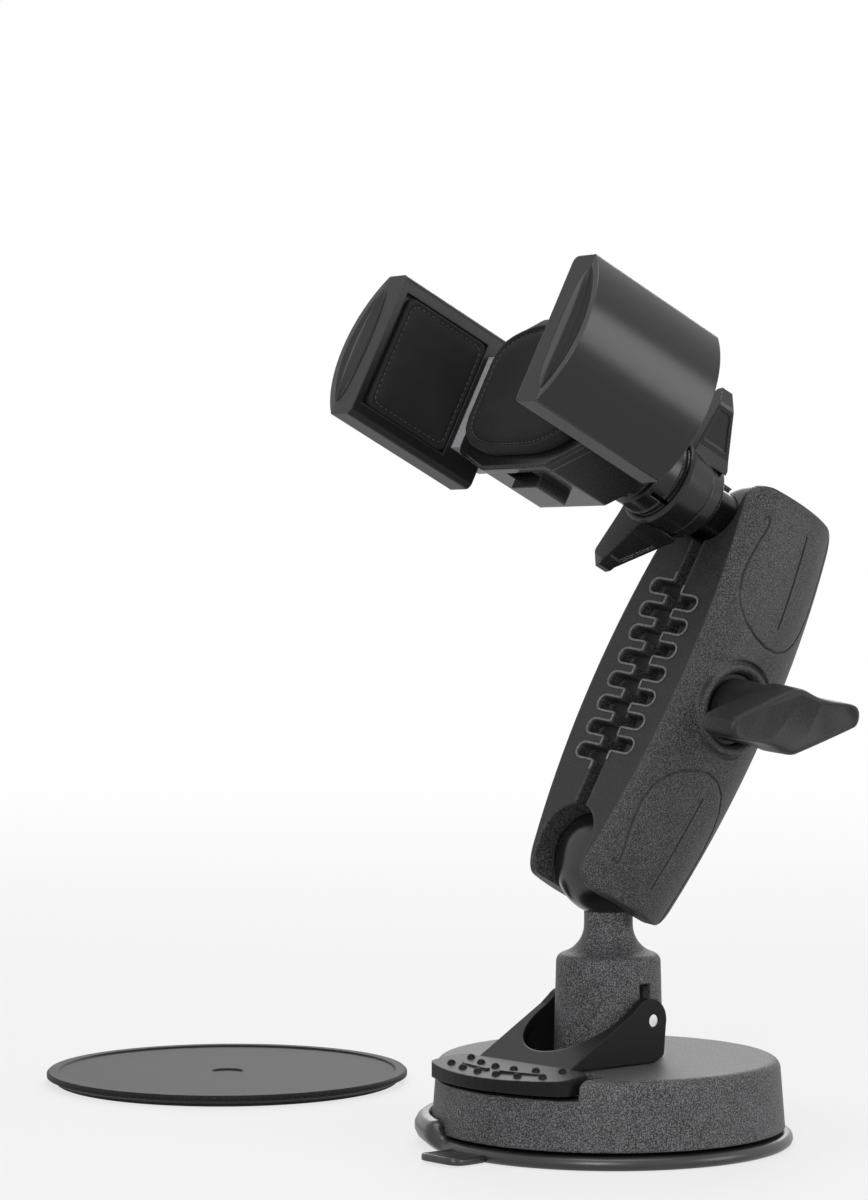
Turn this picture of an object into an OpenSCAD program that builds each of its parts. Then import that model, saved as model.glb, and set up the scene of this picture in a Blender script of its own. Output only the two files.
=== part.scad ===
// Suction cup phone holder. A lever locks a rubber cup to a smooth surface. A post with a rubber
// ball carries a clamping arm of two halves, and the arm's upper ball carries a swivel stem, a
// winged ring nut and a cradle whose two grips move together. An adhesive disc lies beside it.
// The origin is on the surface, under the middle of the cup. The lever points to -Y.

/* [Suction cup] */
// Radius of the rubber cup at its rim
cup_r = 43.6; // [43:0.1:47]
// Thickness of the cup at its rim
cup_rim_t = 3.2; // [2.4:0.1:3.6]
// Width of the flat band that rests on the surface
cup_seat_w = 9; // [6:0.5:14]
// Height of the hollow under the middle of the cup
cup_hollow_h = 2.2; // [1.6:0.1:2.6]
// Reach of the pull tab from the rim
tab_reach = 10; // [6:0.5:14]
// Width of the pull tab
tab_w = 17; // [12:0.5:22]
// Thickness of the pull tab
tab_t = 1.9; // [1.4:0.1:2.4]

/* [Base cap] */
// Radius of the cap at its lower edge
cap_r = 41.7; // [40:0.1:42.5]
// Radius of the cap at its top edge
cap_top_r = 40.6; // [38.5:0.1:41]
// Height of the cap's lower edge above the surface
cap_low_z = 4.1; // [3.8:0.1:6]
// Height of the cap's flat top above the surface
cap_top_z = 20.2; // [19.6:0.1:21]
// Thickness of the cap's walls
cap_wall = 2.4; // [1.8:0.1:3]
// Radius of the cap's rounded top edge
cap_edge_r = 2.4; // [1.5:0.1:3]

/* [Post] */
// Radius of the post where it meets the cap
post_base_r = 12.9; // [12.6:0.1:13]
// Radius of the post under its shoulder
post_r = 12.35; // [12:0.05:12.6]
// Height of the ball's centre above the surface
ball_z = 66.1; // [64:0.1:72]
// Radius of the rubber balls
ball_r = 12.7; // [12.2:0.1:13.2]
// Thickness of the rubber on the balls
ball_skin = 1.8; // [1.2:0.1:2.4]
// Radius of the necks under the balls
neck_r = 5.75; // [5:0.05:5.9]
// Radius of the hollow flare between neck and shoulder
flare_r = 7; // [6:0.1:7.4]
// Radius of the rounded shoulder
shoulder_r = 2.2; // [1.6:0.1:2.6]

/* [Lever] */
// Height of the pivot pin when the lever is locked
pin_z = 30.2; // [29.8:0.1:31]
// Radius of the pivot pin
pin_r = 1.5; // [1.2:0.05:1.7]
// Travel of the pin when the lever is released
pin_travel = 2; // [1:0.1:2]
// Half the width across the lever's two ears
ear_x = 15.4; // [15:0.1:16.5]
// Half the width of the paddle
paddle_hw = 22.5; // [20:0.5:24]
// Radius of the paddle's front edge, from the middle of the base
paddle_r = 42.6; // [41:0.1:44]
// Thickness of the paddle
paddle_t = 2.9; // [2.2:0.1:3.2]
// Radius of the ears round the pin
ear_r = 5.2; // [4.6:0.1:5.4]

/* [Arm] */
// Distance between the two ball centres
arm_span = 86; // [80:0.5:100]
// Reach of the arm past each ball centre
arm_reach = 9.5; // [8.5:0.1:11]
// Width of the arm
arm_w = 31.3; // [30:0.1:34]
// Half thickness of the arm at its middle, at the side edge
arm_edge_t = 14.4; // [13.6:0.1:16]
// Height of the crown of each outer face, across the width
arm_crown = 5.4; // [4.6:0.1:6.5]
// Radius of each outer face along the arm
arm_curve_r = 220; // [200:5:300]
// Gap between the two halves
arm_gap = 4; // [3:0.1:5]
// Angle of the arm from upright, in degrees
arm_tilt = 27.7; // [20:0.1:35]
// Sideways lean of the arm, in degrees
arm_lean = 5.6; // [0:0.1:7]
// Number of comb slots in the front half
comb_n = 7; // [5:1:8]
// Pitch of the comb slots
comb_pitch = 6.2; // [5.4:0.1:6.4]
// Width of a comb slot
comb_slot_w = 3.3; // [2.4:0.1:3.6]
// Depth of a comb slot across the half
comb_depth = 6.6; // [5:0.1:8]

/* [Wing knob] */
// Radius of the round recess that holds the knob's hub
recess_r = 8.7; // [8.5:0.1:9.2]
// Outer radius of the shallow pan around the recess's raised ring
pan_r = 11.8; // [11.4:0.1:12.2]
// Radius of the clamp bolt
bolt_r = 3; // [2.5:0.1:3.2]
// Radius of the knob's hub
hub_r = 7.3; // [6.5:0.1:7.5]
// Distance of the knob's outer face from the arm's middle plane
knob_face_x = 40; // [38:0.5:44]
// Thickness of the knob's bar
knob_bar_t = 10; // [8:0.5:12]
// Half the length of the knob's bar
knob_half_l = 20.7; // [18:0.1:22]
// Half the width of the knob's bar
knob_half_w = 7.85; // [7:0.05:9]
// Turn of the knob's bar from the arm's width, in degrees
knob_turn = 30; // [0:1:90]

/* [Stem and ring nut] */
// Distance from the upper ball's centre to the small ball's centre
stem_l = 29; // [28:0.1:33]
// Radius of the small ball
small_ball_r = 8.5; // [8:0.1:8.6]
// Radius of the thin neck under the small ball
small_neck_r = 4.3; // [3.8:0.1:4.5]
// Radius of the stem's collar
collar_r = 7.3; // [7:0.1:7.4]
// Lean of the stem out of the arm's split plane, in degrees
stem_lean = 7.4; // [0:0.1:7.5]
// Turn of the cradle on the stem, in degrees
cradle_turn = 3.9; // [-10:0.1:10]
// Outer radius of the ring nut at its front
nut_r = 11.9; // [11.6:0.1:13]
// Radius of the ring nut's two wings
wing_r = 24.5; // [20:0.5:26]

/* [Cradle] */
// Half the width of the cradle's body
body_hw = 25.5; // [24.5:0.5:26]
// Half the height of the cradle's body
body_hh = 20; // [19:0.5:22]
// Distance of the body's back from the small ball's centre
body_back_z = 22; // [20:0.5:24]
// Depth of the body's inside
cavity_d = 13.7; // [13.6:0.1:15]
// Offset of the body from the stem's axis, upwards
body_off = 2; // [0:0.1:3]
// Gap between the inner faces of the two grips
grip_gap = 66.3; // [66:0.1:76]
// Height of the grips
grip_h = 37; // [34:0.5:42]
// Distance of the grips' back edge from the small ball's centre
grip_back_z = 29.4; // [28:0.1:31]
// Depth of the grips
grip_d = 38.4; // [34:0.1:42]
// Thickness of the flat part of a grip
jaw_t = 7.9; // [7:0.1:9]
// Height of the bulge of a grip's cover
cover_bulge = 7.5; // [6:0.1:9]
// Thickness of a grip's cover
cover_t = 1.8; // [1.4:0.1:2.4]
// Thickness of the grip pads
pad_t = 1.9; // [1.4:0.1:2.4]
// Thickness of the pad in the middle of the cradle
middle_pad_t = 3.6; // [2:0.1:5]
// Teeth of the pinion
pinion_n = 10; // [10:1:10]
// Pitch radius of the pinion
pinion_r = 5; // [4.9:0.05:5.1]

/* [Mounting disc] */
// Radius of the adhesive mounting disc
disc_r = 46.4; // [44:0.1:50]
// Thickness of the disc above its adhesive
disc_t = 1.8; // [1.4:0.1:2.4]
// Thickness of the adhesive layer
adhesive_t = 0.8; // [0.5:0.1:1.2]
// Distance of the disc's middle to the side of the base
disc_x = 135; // [125:1:160]
// Distance of the disc's middle towards the lever
disc_y = 6; // [0:1:20]

/* [Hidden] */
$fn = 64;

// Overrun of every cut past the solid it cuts
cut = 1;
// Radial room of a pin, a rod, a ball or a sleeve in its hole
fit = 0.08;
// Room between faces that slide on each other
slide_fit = 0.3;
// Side of a block that is larger than any piece
huge = 400;

// Places inside the base
rod_r = 3.9;
foot_r = 11;
foot_z = 4.7;
foot_t = 1.9;
rod_top_z = pin_z + 4.4;
hub_top_z = 8.4;
cup_hub_r = 14;
cup_cone_r = 37;
chamber_r = 8;
chamber_top_z = 25.8;
chamber_wall = 2.2;
chamber_low_z = 9.2;
slot_hw = 1.8;
slot_top_z = 38.5;
recess_side = 1.7;
recess_back_y = 23.8;
recess_floor_z = 15.5;
recess_skin = 2.2;
cap_rib_t = 1.4;
cap_rib_low_z = 11;
cap_rib_n = 6;
spring_wire_r = 0.8;
spring_r = 6;
bead_r = 3.3;
bead_room = 0.3;
bead_start = 203;
bead_angle = 50;
bead_rise = 4.3;
mark_r = 0.9;
mark_depth = 0.4;
mark_z = 10;
mark_turn = 80;

// Places of the lever, from the pivot pin
ear_back = 1.2;
ear_thick = 2.2;
lever_foot_z = 9.75;
foot_rise = 0.65;
lever_low_z = 9.3;
ridge_top_y = 7.3;
ridge_top_z = 1.9;
ridge_low_y = 27;
ridge_low_z = 8.9;
paddle_front_z = 10.6;
paddle_drop_y = 25.4;
lever_web_t = 2.4;
lever_cut_y = 9.4;
foot_round_r = 1.6;
paddle_corner_r = 3.2;
dot_r = 1;
dot_row_n = 6;
dot_pitch = 6.2;
dot_back_r = 33.4;
dot_front_r = 39;
tick_w = 1.1;
tick_l = 11;
tick_rise = 0.5;

// Shoulder and flare of the post
flare_x = neck_r + flare_r;
flare_z = ball_z - 14.5 * ball_r / 12.7;
shoulder_x = post_r - shoulder_r;
shoulder_z = flare_z - sqrt(pow(flare_r + shoulder_r, 2) - pow(flare_x - shoulder_x, 2));
blend_share = shoulder_r / (flare_r + shoulder_r);
blend_x = shoulder_x + blend_share * (flare_x - shoulder_x);
blend_z = shoulder_z + blend_share * (flare_z - shoulder_z);
core_r = ball_r - ball_skin;

// Arm, from the lower ball's centre
arm_mid = arm_span / 2;
arm_half_l = arm_mid + arm_reach;
arm_hw = arm_w / 2;
arm_axis_x = arm_curve_r - arm_edge_t;
crown_r = (arm_hw * arm_hw + arm_crown * arm_crown) / (2 * arm_crown);
crown_x = arm_edge_t + arm_crown;
arm_corner_r = 5.8;
sweep_facets = 360;
side_hole_r = 8.4;
swing_room = 0.35;
swing_lean = 7.5;
swing_r = 22;
floor_x = crown_x - 3.4;
washer_t = 1;
washer_r = 8.3;
bolt_head_r = 5.8;
bolt_head_t = 3;
head_recess_r = 7.2;
pan_d = 1.4;
ring_ledge = 0.3;
ring_r = recess_r + ring_ledge;
ring_w = 2.2;
ring_h = 3.1;
ring_root = 1;
// Outline of the ring round the recess, in shares of its width and height
ring_shares = [[0, 0], [0, 0.8], [0.1, 0.91], [0.3, 0.99], [0.5, 1], [0.7, 0.94], [0.84, 0.76],
    [0.93, 0.45], [1, 0]];
spring_pocket_r = 6.4;
spring_pocket_d = 4.6;
clamp_spring_r = 4.9;
clamp_wire_r = 0.6;
comb_in = 4;
groove_w = 0.6;
groove_d = 0.5;
groove_half_w = 14;
groove_l = 36;
groove_line_x = 2.3;
groove_line_start = 6.2;
groove_line_end = 30.4;
// Course of the groove, from its hooked tail, in shares of its half width and length
groove_shares = [[-0.764, 0.236], [-0.744, 0.211], [-0.706, 0.201], [-0.668, 0.211], [-0.658, 0.236],
    [-0.672, 0.272], [-0.706, 0.33], [-0.762, 0.42], [-0.812, 0.53], [-0.832, 0.64], [-0.795, 0.75],
    [-0.69, 0.844], [-0.505, 0.922], [-0.257, 0.975], [0.029, 1], [0.314, 0.986],
    [0.571, 0.933], [0.77, 0.844], [0.9, 0.728], [0.96, 0.597], [0.975, 0.458], [0.972, 0.25],
    [0.96, 0.042]];

// Wing knob, along the arm's cross axis
hub_start_x = floor_x + washer_t + 2 * fit;
bar_start_x = knob_face_x - knob_bar_t;
insert_r = 4.7;
insert_l = 9;
insert_start_x = hub_start_x + 1.5;
bolt_end_x = insert_start_x + insert_l;
bolt_bore_end_x = bolt_end_x + 3;
// Outline of half the knob's bar, in shares of its half length and half width
knob_shares = [[0.925, -0.37], [0.965, -0.29], [0.99, -0.17], [1, -0.02], [0.993, 0.12],
    [0.965, 0.24], [0.91, 0.325], [0.82, 0.385], [0.7, 0.44], [0.56, 0.51], [0.43, 0.595],
    [0.33, 0.69], [0.25, 0.79], [0.185, 0.88], [0.12, 0.95], [0.05, 0.99], [-0.02, 1]];

// Stem and ring nut, along the stem
stem_neck_end = 17.3;
collar_start = 17.5;
collar_end = 17.95;
collar_back = 0.3;
collet_r = 10.2;
thread_rise = 0.35;
thread_pitch = 1.5;
thread_n = 5;
collet_back_z = 5.6;
collet_slot_w = 1.2;
collet_slots = 4;
boss_r = 9.2;
boss_foot_r = 13;
boss_neck_z = 9;
boss_flare = 4;
nut_back_z = 9.9;
nut_front_z = 3;
nut_back_r = 10.2;
nut_hole_r = 7.4;
nut_cone_z = 7.6;
nut_lip = 1;
wing_root_r = 9.6;
wing_root_w = 9.4;
wing_tip_w = 5;
wing_tip_back = 1.1;
wing_tip_front = 3.2;
wing_turn = 62;
wing_skew = 1.3;
wing_rim = 1.1;
wing_panel_d = 0.4;
wing_panel_in = 4.4;

// Cradle layers and racks
cavity_back_z = body_back_z + 3.2;
cavity_front_z = cavity_back_z + cavity_d;
cavity_hh = 12.8;
cover_plate_t = 2.5;
body_front_z = cavity_front_z + cover_plate_t;
body_side_share = 0.74;
body_taper_share = 0.5;
body_corner_r = 2;
slide_hh = cavity_hh - slide_fit * 2;
plate_t = 2.4;
rack_t = 6.5;
rack_root = 6.3;
rack_tip = 4.15;
rack_end = 16.5;
right_plate_z = cavity_back_z + slide_fit;
right_rack_z = right_plate_z + plate_t;
left_plate_z = cavity_front_z - slide_fit - plate_t;
left_rack_z = left_plate_z - rack_t;
pinion_z = right_rack_z + slide_fit;
pinion_t = left_plate_z - right_rack_z - 2 * slide_fit;
axle_r = 1.6;
module_size = 2 * pinion_r / pinion_n;
tooth_pitch = PI * module_size;
open_travel = 11;
close_travel = 7;
slide_lock = 5.4;
screw_r = 1.2;
screw_head_r = 2.5;
screw_head_t = 1.6;
screw_x = 10;
screw_y = 16.4;
screw_l = 16;
button_hw = 5;
button_flange_hw = 6.8;
button_flange_t = 1.5;
button_wall = 1.9;
button_out = 2.5;
button_in = 1.7;
button_z = cavity_back_z + 2;
button_d = 9;
button_room = 0.15;

// Grips
jaw_x = grip_gap / 2;
chord_x = jaw_x + jaw_t;
grip_hh = grip_h / 2;
cover_r = (grip_hh * grip_hh + cover_bulge * cover_bulge) / (2 * cover_bulge);
cover_x = chord_x + cover_bulge - cover_r;
grip_front_z = grip_back_z + grip_d;
jaw_corner_r = 1.6;
lens_in = 0.8;
lens_t = 1.6;
pad_hh = 14.6;
pad_proud = 0.5;
pad_front_in = 1.8;
pad_back_z = cavity_front_z + 1.2;
middle_pad_in = 3;

// Mounting disc
disc_rim_w = 2.9;
disc_rim_h = 0.5;
disc_dimple_r = 4.2;
disc_dimple_d = 0.5;
adhesive_in = 0.6;

black = [0.09, 0.09, 0.095];
grey_black = [0.15, 0.15, 0.155];
rubber_black = [0.12, 0.12, 0.125];
steel = [0.75, 0.76, 0.78];
brass = [0.75, 0.6, 0.3];
pale_grey = [0.62, 0.63, 0.64];
foam_black = [0.05, 0.05, 0.055];

// A cylinder along X that starts at x = from and ends at x = to
module rod_x(from, to, r) {
    translate([from, 0, 0]) rotate([0, 90, 0]) cylinder(h = to - from, r = r);
}

// A rectangle with rounded corners, centred
module round_rect(w, h, r) {
    square([w - 2 * r, h], center = true);
    square([w, h - 2 * r], center = true);
    for (i = [-1, 1], j = [-1, 1]) translate([i * (w / 2 - r), j * (h / 2 - r)]) circle(r);
}

// The half plane of positive radii, for profiles that are turned
module turned(low, high) {
    translate([0, low]) square([huge, high - low]);
}

// The arm's own frame: X through the knob, Z along the arm, origin in the lower ball
module in_arm() {
    translate([0, 0, ball_z]) rotate([-arm_tilt, 0, 0]) rotate([0, arm_lean, 0]) children();
}

// The stem's frame: Z along the stem, origin in the upper ball
module in_stem() {
    in_arm() translate([0, 0, arm_span]) rotate([90, 0, 0]) rotate([0, -stem_lean, 0]) children();
}

// The cradle's frame: Z towards the phone, X to the right grip, origin in the small ball
module in_cradle() {
    in_stem() translate([0, 0, stem_l]) rotate([0, 0, cradle_turn]) children();
}

// The body and the grips sit a little off the stem's axis
module in_body() {
    in_cradle() translate([0, body_off, 0]) children();
}

// One ring of points of a coil spring's wire, with six sides
function coil_ring(t, r, wire_r, turns, length) = let (
    a = 360 * turns * t, c = [r * cos(a), r * sin(a), length * t])
    [for (k = [0:5]) c + wire_r * (cos(60 * k) * [cos(a), sin(a), 0] + [0, 0, sin(60 * k)])];

// Least gap between a coil's wire and its own next turn, on the points of the wire's middle
function coil_gap(r, wire_r, turns, length) = let (n = turns * 8,
    mid = [for (i = [0:n]) [r * cos(45 * i), r * sin(45 * i), length * i / n]])
    min([for (i = [0:n], j = [i + 5:n]) norm(mid[i] - mid[j])]) - 2 * wire_r;

// A coil spring along Z, one unbroken wire with its two ends cut square
module coil(r, wire_r, turns, length) {
    steps = turns * 8;
    run = length - 2 * wire_r;
    points = [for (i = [0:steps]) each coil_ring(i / steps, r, wire_r, turns, run)];
    sides = [for (i = [0:steps - 1], k = [0:5])
        let (a = 6 * i + k, b = 6 * i + (k + 1) % 6) each [[a, b, b + 6], [a, b + 6, a + 6]]];
    start = [[0, 5, 4], [0, 4, 3], [0, 3, 2], [0, 2, 1]];
    last = 6 * steps;
    end = [for (k = [1:4]) [last, last + k, last + k + 1]];
    translate([0, 0, wire_r]) polyhedron(points, concat(sides, start, end));
    echo(str("least gap of the coil of radius ", r, " mm: ", coil_gap(r, wire_r, turns, run)));
}

// Rubber cup with its rim, raised side bead and pull tab
module suction_cup() {
    rim_x = cup_r - cup_rim_t / 2;
    color(rubber_black) difference() {
        union() {
            rotate_extrude() {
                polygon([[0, cup_hollow_h], [cup_r - cup_seat_w, 0], [rim_x, 0], [rim_x, cup_rim_t],
                    [cup_cone_r, cup_rim_t], [cup_hub_r, hub_top_z], [0, hub_top_z]]);
                translate([rim_x, cup_rim_t / 2]) circle(cup_rim_t / 2);
            }
            rotate_extrude(angle = bead_angle, start = bead_start) intersection() {
                translate([cup_r - bead_r / 5, bead_rise]) circle(bead_r);
                translate([cap_r + bead_room, bead_r / 3]) square(huge);
            }
            translate([0, -cup_r - tab_reach / 2 + cup_rim_t / 2, 0]) linear_extrude(tab_t)
                round_rect(tab_w, tab_reach + cup_rim_t, tab_t);
        }
        translate([0, 0, foot_z - fit]) cylinder(h = foot_t + 2 * fit, r = foot_r + fit);
        translate([0, 0, foot_z]) cylinder(h = hub_top_z, r = rod_r + fit);
    }
}

// Half outline of the post: base, shoulder, hollow flare, neck and ball core
module post_outline() {
    polygon([[0, cap_top_z - cap_wall], [post_base_r, cap_top_z - cap_wall],
        [post_base_r, cap_top_z], [post_r, shoulder_z], [0, shoulder_z]]);
    intersection() {
        translate([shoulder_x, shoulder_z]) circle(shoulder_r);
        turned(shoulder_z, ball_z);
    }
    difference() {
        polygon([[0, shoulder_z], [shoulder_x, shoulder_z], [blend_x, blend_z],
            [blend_x, flare_z], [0, flare_z]]);
        translate([flare_x, flare_z]) circle(flare_r);
    }
    translate([0, flare_z]) square([neck_r, ball_z - flare_z]);
    intersection() {
        translate([0, ball_z]) circle(core_r);
        turned(ball_z - ball_r, ball_z + ball_r);
    }
}

// Moulded cap with the post, the neck and the ball's core in one piece
module base_cap() {
    roof_z = cap_top_z - cap_wall;
    edge_x = cap_top_r - cap_edge_r;
    recess_hw = paddle_hw + recess_side;
    color(grey_black) difference() {
        rotate_extrude() {
            polygon([[0, cap_low_z], [cap_r, cap_low_z], [cap_top_r, cap_top_z - cap_edge_r],
                [edge_x, cap_top_z - cap_edge_r], [edge_x, cap_top_z], [0, cap_top_z]]);
            intersection() {
                translate([edge_x, cap_top_z - cap_edge_r]) circle(cap_edge_r);
                turned(cap_top_z - cap_edge_r, cap_top_z);
            }
            post_outline();
        }
        difference() {
            rotate_extrude() polygon([[0, cap_low_z - cut], [cap_r - cap_wall, cap_low_z - cut],
                [cap_top_r - cap_wall, roof_z], [0, roof_z]]);
            translate([0, 0, chamber_low_z]) cylinder(h = cap_top_z, r = chamber_r + chamber_wall);
            translate([-recess_hw - recess_skin, -huge - recess_back_y + recess_skin,
                recess_floor_z - recess_skin])
                cube([2 * (recess_hw + recess_skin), huge, huge]);
            for (i = [0:cap_rib_n - 1]) rotate([0, 0, (i + 1 / 2) * 360 / cap_rib_n])
                translate([0, -cap_rib_t / 2, cap_rib_low_z]) cube([cap_r, cap_rib_t, cap_top_z]);
        }
        translate([0, 0, chamber_low_z - cut])
            cylinder(h = chamber_top_z - chamber_low_z + cut, r = chamber_r);
        translate([0, 0, chamber_low_z])
            cylinder(h = rod_top_z + cut - chamber_low_z, r = rod_r + fit);
        translate([-post_base_r, -slot_hw, pin_z - pin_travel - pin_r - slide_fit])
            cube([2 * post_base_r, 2 * slot_hw, slot_top_z - pin_z + pin_travel + pin_r + slide_fit]);
        translate([-recess_hw, -huge - recess_back_y, recess_floor_z])
            cube([2 * recess_hw, huge, huge]);
        rotate([0, 0, -mark_turn - 20]) translate([cap_r - mark_depth, 0, mark_z])
            rotate([0, 90, 0]) cylinder(h = cut + mark_depth, r = mark_r);
    }
}

// Rod with its foot in the cup; the pin crosses its top
module plunger() {
    color(black) difference() {
        union() {
            translate([0, 0, foot_z]) cylinder(h = foot_t, r = foot_r);
            translate([0, 0, foot_z]) cylinder(h = rod_top_z - foot_z, r = rod_r);
        }
        translate([0, 0, pin_z]) rod_x(-foot_r, foot_r, pin_r + fit);
    }
}

// Spring round the rod, which pushes the cup down when the lever is released
module plunger_spring() {
    low = hub_top_z + fit;
    color(steel) translate([0, 0, low]) coil(spring_r, spring_wire_r, 5, chamber_top_z - fit - low);
}

// Steel pin through the ears, the slots in the post and the rod
module pivot_pin() {
    color(steel) translate([0, 0, pin_z]) rod_x(-ear_x + slide_fit, ear_x - slide_fit, pin_r);
}

// Side view of the lever, Y to the right and Z up, origin in the pin
module lever_side() {
    translate([-ear_back, 0]) circle(ear_r);
    polygon([[-ear_back - ear_r / 2, ear_r * 0.86], [-ridge_top_y, ridge_top_z],
        [-ridge_low_y, -ridge_low_z], [-paddle_r, -paddle_front_z],
        [-paddle_r, -paddle_front_z - paddle_t], [-paddle_drop_y, -paddle_front_z - paddle_t],
        [-paddle_drop_y + lever_web_t / 2, -lever_low_z], [0, -lever_foot_z],
        [ear_r / 3, -lever_foot_z + foot_rise],
        [ear_r - ear_back - foot_round_r / 2, -lever_foot_z + foot_round_r],
        [ear_r - ear_back, 0]]);
}

// Plan of the paddle: its front edge follows the cap, and all four corners are rounded
module paddle_plan() {
    q = paddle_corner_r;
    mid = [paddle_hw - q, -sqrt(pow(paddle_r - q, 2) - pow(paddle_hw - q, 2))];
    lead = atan2(mid[1], mid[0]);
    side = concat([for (i = [0:8]) mid + q * [cos(lead * i / 8), sin(lead * i / 8)]],
        [for (i = [1:8]) let (a = lead + (-90 - lead) * i / 8) paddle_r * [cos(a), sin(a)]]);
    back = [for (i = [0:5]) [paddle_hw - q, -ridge_low_y - q]
        + q * [cos(90 - 15 * i), sin(90 - 15 * i)]];
    half = concat(back, side);
    polygon(concat(half, [for (i = [len(half) - 2:-1:0]) [-half[i][0], half[i][1]]]));
}

// Lever: two ears on the pin, a sloping web with a round cut for the post, and the paddle
module lever() {
    inner_x = ear_x - ear_thick;
    color(grey_black) translate([0, 0, pin_z]) {
        difference() {
            intersection() {
                rotate([90, 0, 90]) translate([0, 0, -paddle_hw]) linear_extrude(2 * paddle_hw)
                    lever_side();
                union() {
                    translate([-ear_x, -ridge_low_y - ridge_top_y / 2, -huge / 2])
                        cube([2 * ear_x, huge, huge]);
                    translate([0, 0, -huge / 2]) linear_extrude(huge) paddle_plan();
                }
            }
            translate([0, -lever_cut_y, -huge / 2]) cylinder(h = huge, r = inner_x);
            translate([-inner_x, -lever_cut_y, -huge / 2]) cube([2 * inner_x, huge, huge]);
            difference() {
                translate([-inner_x, -paddle_drop_y + lever_web_t, -huge])
                    cube([2 * inner_x, huge, huge + ridge_top_z]);
                rotate([90, 0, 90]) translate([0, 0, -ear_x]) linear_extrude(2 * ear_x)
                    polygon([[-ridge_top_y, ridge_top_z], [-ridge_low_y, -ridge_low_z],
                        [-ridge_low_y, -ridge_low_z - lever_web_t],
                        [-ridge_top_y, ridge_top_z - lever_web_t]]);
            }
            rod_x(-huge, huge, pin_r + fit);
        }
        slope = (paddle_front_z - ridge_low_z) / (paddle_r - ridge_low_y);
        for (row = [dot_back_r, dot_front_r], i = [0:dot_row_n - 1]) {
            x = (i - (dot_row_n - 1) / 2) * dot_pitch;
            y = sqrt(row * row - x * x);
            translate([x, -y, -ridge_low_z - slope * (y - ridge_low_y)]) sphere(dot_r);
        }
        tick_y = (dot_back_r + dot_front_r) / 2;
        for (i = [-1, 1]) rotate([0, 0, i * 12]) translate([0, -tick_y,
            -ridge_low_z - slope * (tick_y - ridge_low_y)])
            cube([tick_l, tick_w, 2 * tick_rise], center = true);
    }
}

// Rubber sleeve of a ball, open below for the neck
module ball_sleeve() {
    color(rubber_black) difference() {
        sphere(ball_r);
        sphere(core_r + fit);
        translate([0, 0, -ball_r - cut]) cylinder(h = ball_r + cut, r = neck_r + fit);
    }
}

module lower_ball() {
    translate([0, 0, ball_z]) ball_sleeve();
}

module upper_ball() {
    in_stem() mirror([0, 0, 1]) ball_sleeve();
}

// A ring sector whose outer skin is the crowned outer face of a half, less an inset
module arm_skin(inset) {
    sweep = asin((arm_half_l + cut) / (arm_curve_r - arm_edge_t));
    translate([-arm_axis_x, 0, arm_mid]) rotate([90, 0, 0])
        rotate_extrude(angle = 2 * sweep, start = -sweep, $fn = sweep_facets) intersection() {
            translate([arm_axis_x - arm_edge_t, -arm_hw]) square([3 * arm_edge_t, arm_w]);
            translate([arm_axis_x + crown_x - crown_r, 0]) circle(crown_r - inset);
        }
}

// A run of points shifted sideways by half a groove's width
function groove_side(points, shift) = [for (i = [0:len(points) - 1])
    let (along = points[min(i + 1, len(points) - 1)] - points[max(i - 1, 0)])
    points[i] + shift * [-along[1], along[0]] / norm(along)];

// Line work on an outer face: near each end a hooked loop with a straight line inside it
module arm_lines() {
    course = [for (p = groove_shares) [p[0] * groove_half_w, -p[1] * groove_l]];
    one_side = groove_side(course, groove_w / 2);
    other_side = groove_side(course, -groove_w / 2);
    for (side = [-1, 1]) translate([0, arm_mid]) scale([1, side]) translate([0, arm_half_l]) {
        polygon(concat(one_side, [for (i = [len(course) - 1:-1:0]) other_side[i]]));
        translate([groove_line_x - groove_w / 2, -groove_line_end])
            square([groove_w, groove_line_end - groove_line_start]);
    }
}

// Room for a ball and its leaning neck at one end of the arm; the end lies to -Z
module ball_room() {
    open_w = neck_r + swing_room;
    sphere(ball_r + fit);
    rotate([90, 0, 0]) cylinder(h = 2 * arm_w, r = side_hole_r, center = true);
    intersection() {
        rotate([0, 90, 0]) rotate_extrude() polygon([[0, -open_w],
            [swing_r, -open_w - swing_r * tan(swing_lean)],
            [swing_r, open_w + swing_r * tan(swing_lean)], [0, open_w]]);
        translate([-huge / 2, -huge / 2, -huge]) cube(huge);
    }
}

// Comb slots along one side edge of a half, count of them centred on the arm's middle
module comb(count) {
    end_x = arm_gap / 2 + comb_depth - comb_slot_w / 2;
    for (i = [0:count - 1], side = [-1, 1])
        translate([0, side * arm_hw, arm_mid + (i - (count - 1) / 2) * comb_pitch]) {
            rotate([90, 0, 0]) translate([end_x, 0, -comb_in])
                cylinder(h = 2 * comb_in, r = comb_slot_w / 2);
            translate([0, -comb_in, -comb_slot_w / 2]) cube([end_x, 2 * comb_in, comb_slot_w]);
        }
}

// One half of the arm, on the +X side
module arm_half(slots, seat_r) {
    difference() {
        intersection() {
            arm_skin(0);
            translate([arm_gap / 2, 0, arm_mid]) rotate([90, 0, 90]) linear_extrude(huge)
                round_rect(arm_w, 2 * arm_half_l, arm_corner_r);
        }
        difference() {
            rotate([90, 0, 90]) linear_extrude(huge) arm_lines();
            arm_skin(groove_d);
        }
        ball_room();
        translate([0, 0, arm_span]) mirror([0, 0, 1]) ball_room();
        comb(slots);
        translate([0, 0, arm_mid]) {
            rod_x(0, huge, bolt_r + fit);
            rod_x(0, arm_gap / 2 + spring_pocket_d, spring_pocket_r);
            rod_x(floor_x, huge, seat_r);
        }
    }
}

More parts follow.
